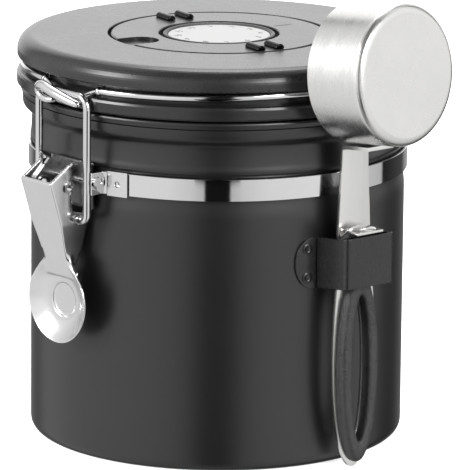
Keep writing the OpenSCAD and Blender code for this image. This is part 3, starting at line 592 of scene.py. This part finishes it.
finish_piece(lever, lever_steel, "lever", "chrome_steel", "latch_lever")

hook = wire("hook", flow([(9.4, -67.0, 116.0, 0.7), (9.0, -67.1, 116.1, 1.1), (6.5, -67.5, 116.6, 1.35),
                          (3, -67.8, 117.4, 1.6), (-3, -68.0, 118.9, 1.65), (-7.3, -67.6, 119.8, 1.6),
                          (-9.8, -66.9, 119.0, 1.45), (-10.4, -66.4, 117.3, 1.3), (-8.8, -66.6, 115.9, 1.2),
                          (-6, -66.6, 115.4, 1.15), (-3.5, -66.3, 115.7, 0.9)], 8))
finish_piece(hook, chrome, "bail", "chrome_steel", "bail_hook")

# the lid wire slopes down to its nose in front and ends in two eyes behind
ring_path = []
for a in range(12, 174, 3):
    y = -WIRE_LOOP * math.cos(rad(a))
    ring_path.append((WIRE_LOOP * math.sin(rad(a)), y, 120.18 + 1.1 * min(1.0, (y + 61.6) / 40), WIRE_R))
half = [(0, -63.4, 115.2, 1.1), (4.2, -63.4, 115.3, 1.1), (6.0, -63.1, 116.4, 0.85), (7.6, -62.7, 118.0, 0.8),
        (10.2, -62.0, 119.4, 0.8), (12.0, -61.6, 120.0, 0.85), (12.4, -61.5, 120.1, 1.35),
        (13.0, -61.4, 120.18, 1.45), (13.5, -61.2, 120.2, WIRE_R)] + ring_path[1:]
half += [(EYE_X, y, z, WIRE_R) for y, z in ((63.9, 121.2), (65.4, 120.4), (67.2, 117.8), (HINGE_Y, 114.9))]
path = [(-x, y, z, r) for x, y, z, r in half[:0:-1]] + half
ring = wire("lid_wire", flow(path, 3))
eyes = []
for x in (-EYE_X, EYE_X):
    eye = lathe("eye", [(1.35, -1.1), (2.8, -1.1), (2.95, -0.95), (2.95, 0.95), (2.8, 1.1), (1.35, 1.1)], 64)
    eyes.append(move(eye, (x, HINGE_Y, HINGE_Z), [("Y", 90)]))
ring = join([ring] + eyes, "lid_wire")
finish_piece(ring, chrome, "lid", "chrome_steel", "lid_ring")

# Scoop: grip, handle and holder


def held(o):
    """Turns a piece from the holder's own frame, with x outwards, into the canister's frame."""
    return move(o, (0, 0, 0), [("Z", HOLDER_TURN)])


# moulded grip: loops from its outer edge over the dome to the slot; each has its place between the two
# outlines and its height
loops = []
GRIP_W, GRIP_H, GRIP_Z = 7.6, 31, 33.4
DOME = [(0, 0), (0, 1.3), (0.03, 2.3), (0.09, 3.0), (0.18, 3.45), (0.32, 3.8), (0.5, 3.92), (0.7, 3.85),
        (0.86, 3.65), (0.95, 3.4), (0.99, 3.0), (1, 2.5), (1, 0)]
for t, up in DOME:
    deselect()
    bpy.ops.mesh.primitive_circle_add(vertices=96, radius=MM)
    o = bpy.context.object
    edit(o)
    bpy.ops.transform.resize(value=(GRIP_W + (SLOT_W - GRIP_W) * t, GRIP_H + (SLOT_H - GRIP_H) * t, 1))
    bpy.ops.transform.translate(value=(0, (GRIP_Z - 0.4 * t) * MM, up * MM))
    bpy.ops.object.mode_set(mode="OBJECT")
    loops.append(o)
strips = []
for k in range(len(loops)):
    strip = join([copy_of(loops[k], "loop"), copy_of(loops[(k + 1) % len(loops)], "loop")], "strip")
    edit(strip)
    bpy.ops.mesh.bridge_edge_loops()
    bpy.ops.object.mode_set(mode="OBJECT")
    strips.append(strip)
for o in loops:
    bpy.data.objects.remove(o)
grip = join(strips, "grip")
edit(grip)
weld(grip)
done(grip, 50)
# the dome points outwards and the long axis up, then the whole stands in the holder's frame
move(grip, (0, 0, 0), [("X", 90), ("Z", 90)])
move(grip, (GRIP_X, 0, 0))
held(grip)
finish_piece(grip, grip_black, "scoop", "gloss_black", "scoop_grip")


def strip_at(z):
    """Half width of the handle's strip at height z."""
    return 5.3 + 1.2 * ease((102 - z) / 28)


def side_on(points, half):
    """A slab across the holder's frame from an outline of (outward, up) points."""
    return slab("side_on", [(x, -half, z) for x, z in points], (0, 2 * half, 0))


# steel handle: a bent sheet cut to its outline, with rounded edges
bend = rounded([(78.7, 105.17), (STRIP_X, 104.09), (STRIP_X, 64.5), (LOOP_X, 60.5), (LOOP_X, 0.5)], 1.5, 5)
handle = side_on([(q.x, q.y) for q in ribbon(bend, STRIP_T)], 12)
face = [(5.3, 110), (5.3, 102)] + [(strip_at(z), z) for z in range(96, 72, -6)]
face += [(8.5 * math.cos(rad(a)), 35 + (46 if a > 0 else 34.5) * math.sin(rad(a)))
         for a in [40 - 130 * k / 30 for k in range(31)]]
face += [(-y, z) for y, z in face[-2::-1]]
keep(handle, slab("outline", [(60, y, z) for y, z in face], (30, 0, 0)))
slot = [(SLOT_W * math.cos(rad(7.5 * k)), SLOT_Z + SLOT_H * math.sin(rad(7.5 * k))) for k in range(48)]
keep(handle, slab("slot", [(60, y, z) for y, z in slot], (12, 0, 0)), "DIFFERENCE")
bevel(handle, 0.35, 3, 50)
bend = rounded([(66.7, 74.95), (69.8, 77.65), (73, 77.35), (74.6, 77.35)], 1, 4)
lug = side_on([(q.x, q.y) for q in ribbon(bend, 0.9)], 5.5)
bevel(lug, 0.3, 3, 40)
bump = lathe("bump", [(0, 0)] + [(5.3 * math.cos(rad(a)), 2.0 * math.sin(rad(a))) for a in range(0, 91, 9)], 64)
edit(bump)
bpy.ops.transform.resize(value=(0.72, 1, 1))
bpy.ops.object.mode_set(mode="OBJECT")
move(bump, (LUG_X, 0, LUG_Z))
handle = held(join([handle, lug, bump], "scoop_strip"))
finish_piece(handle, strip_steel, "scoop", "brushed_scoop", "scoop_handle")

# holder: a bent strip whose front stands higher, and two rounded ears
bend = rounded([(57, 9.35), (74.55, 9.35), (74.55, -9.35), (57, -9.35)], 1.4, 6)
holder = slab("holder", [(q.x, q.y, 57) for q in ribbon(bend, 0.9)], (0, 0, 22))
keep(holder, side_on([(60.5, HOLDER_Z0), (76, 60.4), (76, 76.6), (60.5, HOLDER_Z1)], 15))
cut(holder, cyl("core", 60.46, 40, (0, 0, 50), sides=180))
EAR_IN, EAR_OUT = 60.1, 60.96
ears = lathe("ears", [(EAR_IN, HOLDER_Z0), (EAR_OUT, HOLDER_Z0), (EAR_OUT, HOLDER_Z1), (EAR_IN, HOLDER_Z1)], 180)
ear_outline = [(8.9, HOLDER_Z0), (8.9, HOLDER_Z1)]
ear_outline += [(11.1 + 5.6 * math.cos(rad(a)), 66.6 + 8.1 * math.sin(rad(a))) for a in range(90, -91, -9)]
right_ear = slab("ear", [(50, y, z) for y, z in ear_outline], (12, 0, 0))
left_ear = slab("ear", [(50, -y, z) for y, z in ear_outline], (12, 0, 0))
keep(ears, join([right_ear, left_ear], "ear_shape"))
bevel(holder, 0.25, 3, 40)
bevel(ears, 0.25, 3, 40)
finish_piece(held(join([holder, ears], "holder")), holder_black, "canister", "black_paint", "scoop_holder")
studs = []
STUD = [(0, 0), (1.75, 0), (1.75, 0.12), (1.5, 0.3), (1.15, 0.34), (0.95, 0.2), (0.7, 0.14), (0, 0.12)]
for turn in (-12.2, 12.2):
    for z in (62.0, 71.2):
        stud = lathe("stud", STUD, 40)
        studs.append(move(stud, (0, 0, 0), [("Y", 90)]))
        move(stud, (EAR_OUT + 0.02, 0, z))
        move(stud, (0, 0, 0), [("Z", turn)])
finish_piece(held(join(studs, "spot_rivets")), holder_black, "canister", "black_paint", "holder_rivets")

# Lid: finger grips of the date ring, and the dial's numbers
BAR_R, BAR_L = 1.6, 8.2
bars = []
for a in (0, 180):
    for s in (-1, 1):
        outline = [(24.7, -BAR_R, RING_TOP), (24.7, BAR_R, RING_TOP)]
        outline += [(24.7, BAR_R * math.cos(rad(20 * k)), RING_TOP + BAR_R * math.sin(rad(20 * k)))
                    for k in range(1, 9)]
        bar = bevel(slab("bar", outline, (BAR_L, 0, 0)), 0.5, 3, 25)
        move(bar, (0, s * 3.4, 0))
        bars.append(move(bar, (0, 0, 0), [("Z", a - 12)]))
bars = join(bars, "finger_grips")
finish_piece(bars, gloss_black, "date_wheel", "gloss_black", "ring_grips")

marks = []
for k in range(1, 13):
    deselect()
    bpy.ops.object.text_add()
    o = bpy.context.object
    o.data.body = str(k)
    o.data.size = DIGIT_SIZE * MM
    o.data.extrude = 0.02 * MM
    o.data.align_x, o.data.align_y = "CENTER", "CENTER"
    bpy.ops.object.convert(target="MESH")
    o = bpy.context.object
    place = (-DIGIT_R * math.cos(rad(30 * k)), DIGIT_R * math.sin(rad(30 * k)), DIAL_TOP)
    marks.append(move(o, place, [("Z", 90)]))
marks = join(marks, "dial_numbers")
finish_piece(marks, print_grey, "lid", "grey_trim")

# Nodes that keep their mesh
for n, mat in (
    ("band_pin", chrome), ("lever_rivets", chrome), ("clinch_plates", pressed), ("latch_bracket", pressed),
    ("hinge_bracket", pressed), ("hinge_pin", chrome), ("latch_bail", chrome), ("lid_cap", cap_black),
    ("lid_base", skirt_black), ("lid_gasket", seal_dark), ("lid_screws", dull_steel), ("dial_bezel", trim_grey),
    ("date_dial", dial_white), ("date_ring", cap_black), ("ring_pointer", trim_grey), ("valve_seat", skirt_black),
    ("valve_flap", silicone), ("filter_pad", felt_white), ("valve_grille", skirt_black), ("scoop_cup", cup_steel),
):
    o = NODES[n]
    o.data.materials.clear()
    o.data.materials.append(mat)
    deselect()
    bpy.context.view_layer.objects.active = o
    o.select_set(True)
    bpy.ops.object.shade_smooth_by_angle(angle=rad(30))

# Stage, light and camera

bpy.ops.mesh.primitive_plane_add(size=8)
floor = bpy.context.object
floor.name = "floor"
fm = bpy.data.materials.new("floor_pale")
fm.use_nodes = True
ft = fm.node_tree
fb = ft.nodes["Principled BSDF"]
fb.inputs["Base Color"].default_value = (0.93, 0.93, 0.93, 1)
fb.inputs["Roughness"].default_value = 0.7
fb.inputs["Specular IOR Level"].default_value = 0.0
fo = ft.nodes["Material Output"]
path_info = ft.nodes.new("ShaderNodeLightPath")
lit = ft.nodes.new("ShaderNodeEmission")
lit.inputs["Color"].default_value = (1, 1, 1, 1)
lit.inputs["Strength"].default_value = 0.75
seen = ft.nodes.new("ShaderNodeMixShader")
added = ft.nodes.new("ShaderNodeAddShader")
link(ft, fb.outputs[0], added.inputs[0])
link(ft, lit.outputs[0], added.inputs[1])
link(ft, path_info.outputs["Is Camera Ray"], seen.inputs[0])
link(ft, fb.outputs[0], seen.inputs[1])
link(ft, added.outputs[0], seen.inputs[2])
clear = ft.nodes.new("ShaderNodeBsdfTransparent")
pass_glossy = ft.nodes.new("ShaderNodeMixShader")
link(ft, path_info.outputs["Is Glossy Ray"], pass_glossy.inputs[0])
link(ft, seen.outputs[0], pass_glossy.inputs[1])
link(ft, clear.outputs[0], pass_glossy.inputs[2])
link(ft, pass_glossy.outputs[0], fo.inputs[0])
floor.data.materials.append(fm)

# the camera as fitted to the photograph's edges: heading, rise and roll in degrees, places in metres
CAM_TURN, CAM_RISE, CAM_ROLL = 48.0, 13.3077, 0.5426
CAM_AIM, CAM_AWAY = 0.0546, 1.693
CAM_LENS, CAM_SENSOR, CAM_SHIFT = 401.5, 36, (0.0385, 0.0539)


def towards(turn, rise):
    """A unit vector from the origin at a heading from the latch and a rise, in degrees."""
    a, e = rad(turn), rad(rise)
    return (math.sin(a) * math.cos(e), -math.cos(a) * math.cos(e), math.sin(e))


away = Vector(towards(CAM_TURN, CAM_RISE))
eye = Vector((0, 0, CAM_AIM)) + away * CAM_AWAY
look = -away
side = look.cross(Vector((0, 0, 1))).normalized()
up = side.cross(look)
roll = rad(CAM_ROLL)
right = side * math.cos(roll) + up * math.sin(roll)
top = up * math.cos(roll) - side * math.sin(roll)
cam_data = bpy.data.cameras.new("camera")
cam_data.lens = CAM_LENS
cam_data.sensor_width = CAM_SENSOR
cam_data.shift_x, cam_data.shift_y = CAM_SHIFT
cam = bpy.data.objects.new("camera", cam_data)
bpy.context.scene.collection.objects.link(cam)
m = Matrix((right, top, -look)).transposed().to_4x4()
m.translation = eye
cam.matrix_world = m
bpy.context.scene.camera = cam

# two dark cards in front, as a studio has them: the steel band sees past them through the slot between
cm = bpy.data.materials.new("card_black")
cm.use_nodes = True
cm.node_tree.nodes["Principled BSDF"].inputs["Base Color"].default_value = (0.005, 0.005, 0.005, 1)
cm.node_tree.nodes["Principled BSDF"].inputs["Specular IOR Level"].default_value = 0.0
CARD_W, CARD_AWAY = 112, 260
for name, z0, z1 in (("card_low", -400, 39.0), ("card_high", 49.0, 76)):
    bpy.ops.mesh.primitive_plane_add(size=1)
    card = bpy.context.object
    card.name = card.data.name = name
    edit(card)
    bpy.ops.transform.resize(value=(CARD_W * MM, (z1 - z0) * MM, 1))
    bpy.ops.transform.rotate(value=rad(90), orient_axis="X", orient_type="GLOBAL", center_override=(0, 0, 0))
    bpy.ops.transform.translate(value=(0, -CARD_AWAY * MM, (z0 + z1) / 2 * MM))
    bpy.ops.transform.rotate(value=-rad(CAM_TURN), orient_axis="Z", orient_type="GLOBAL", center_override=(0, 0, 0))
    bpy.ops.object.mode_set(mode="OBJECT")
    card.data.materials.append(cm)
    card.visible_camera = False
    card.visible_shadow = False
    card.visible_diffuse = False

world = bpy.data.worlds.new("studio")
bpy.context.scene.world = world
world.use_nodes = True
w = world.node_tree
w.nodes.clear()
w_out = w.nodes.new("ShaderNodeOutputWorld")
coord = w.nodes.new("ShaderNodeTexCoord")
apart = w.nodes.new("ShaderNodeSeparateXYZ")
link(w, coord.outputs["Generated"], apart.inputs[0])
heading = maths(w, "ARCTAN2", apart.outputs["Y"], apart.outputs["X"])
# 0 at the camera's heading, running once round to 1 by the right
spin = maths(w, "FRACT", maths(w, "ADD", maths(w, "DIVIDE", heading, TAU), 1.0 + (90 - CAM_TURN) / 360.0))


def stops(factor, table):
    n = w.nodes.new("ShaderNodeValToRGB")
    link(w, factor, n.inputs[0])
    els = n.color_ramp.elements
    els[0].position, els[1].position = table[0][0], table[-1][0]
    for el, v in ((els[0], table[0][1]), (els[1], table[-1][1])):
        el.color = (v, v, v, 1)
    for at, v in table[1:-1]:
        el = els.new(at)
        el.color = (v, v, v, 1)
    return n.outputs[0]


def round_stops(table):
    return stops(spin, [(a / 360.0, v) for a, v in table])


low = round_stops([(0, 0.01), (7.6, 0.01), (8.4, 0.72), (15, 0.84), (30, 1.0), (60, 1.06), (80, 0.95), (110, 0.72),
                   (117.5, 0.65), (119.5, 0.02), (150, 0.08), (158, 0.33), (180, 0.6), (202, 0.33), (212, 0.1),
                   (220, 0.15), (225, 0.75), (240, 0.9), (300, 1.05), (330, 1.0), (345, 0.84), (351.6, 0.72),
                   (352.4, 0.01), (360, 0.01)])
high = round_stops([(0, 0.02), (8, 0.02), (10, 0.9), (40, 1.25), (100, 1.25), (122, 1.1), (126, 0.15), (140, 0.2),
                    (150, 1.3), (180, 1.7), (210, 1.3), (218, 0.2), (222, 0.15), (228, 0.8), (260, 1.1),
                    (320, 1.25), (350, 0.9), (352, 0.02), (360, 0.02)])
height = apart.outputs["Z"]
sides = mix(w, spread(w, height, -0.17, -0.08, 0.0, 1.0), low, high)
up_down = spread(w, height, -1.0, 1.0, 0.0, 1.0)
near_sky = stops(up_down, [(0.0, 0.55), (0.1, 0.85), (0.2, 1.0), (0.37, 1.0), (0.5, 1.0), (0.78, 1.0), (0.87, 0.1),
                           (1.0, 0.08)])
far_sky = stops(up_down, [(0.0, 0.55), (0.1, 0.85), (0.2, 1.0), (0.5, 1.0), (0.9, 1.0), (0.93, 1.5), (0.965, 1.5),
                          (0.985, 0.1), (1.0, 0.08)])


def facing(azimuth, elevation):
    """How far a direction of the world points the way of one given from the camera's heading."""
    n = w.nodes.new("ShaderNodeVectorMath")
    n.operation = "DOT_PRODUCT"
    n.inputs[1].default_value = towards(CAM_TURN + azimuth, elevation)
    link(w, coord.outputs["Generated"], n.inputs[0])
    return n.outputs["Value"]


rise = mix(w, spread(w, facing(0, 0), -0.25, 0.25, 0.0, 1.0), far_sky, near_sky)


def blend(kind, a, b):
    n = w.nodes.new("ShaderNodeMix")
    n.data_type = "RGBA"
    n.blend_type = kind
    n.inputs[0].default_value = 1.0
    link(w, a, n.inputs[6])
    link(w, b, n.inputs[7])
    return n.outputs[2]


def lamp(azimuth, elevation, outer, inner, strength):
    """A round soft light on the sky that fades out between two angles from its middle."""
    return spread(w, facing(azimuth, elevation), math.cos(rad(outer)), math.cos(rad(inner)), 0.0, strength)


lamps = maths(w, "ADD", maths(w, "ADD", lamp(-68, 25, 15, 6, 17.0), lamp(38, 27, 17, 7, 12.0)),
              lamp(176, 60, 17, 12, 4.5))
sky = blend("ADD", blend("MULTIPLY", sides, rise), lamps)
ray = w.nodes.new("ShaderNodeLightPath")
sky_light = w.nodes.new("ShaderNodeBackground")
link(w, sky, sky_light.inputs[0])
white = w.nodes.new("ShaderNodeBackground")
white.inputs[0].default_value = (1, 1, 1, 1)
pick = w.nodes.new("ShaderNodeMixShader")
link(w, ray.outputs["Is Camera Ray"], pick.inputs[0])
link(w, sky_light.outputs[0], pick.inputs[1])
link(w, white.outputs[0], pick.inputs[2])
link(w, pick.outputs[0], w_out.inputs[0])

bpy.context.scene.view_settings.view_transform = "Standard"
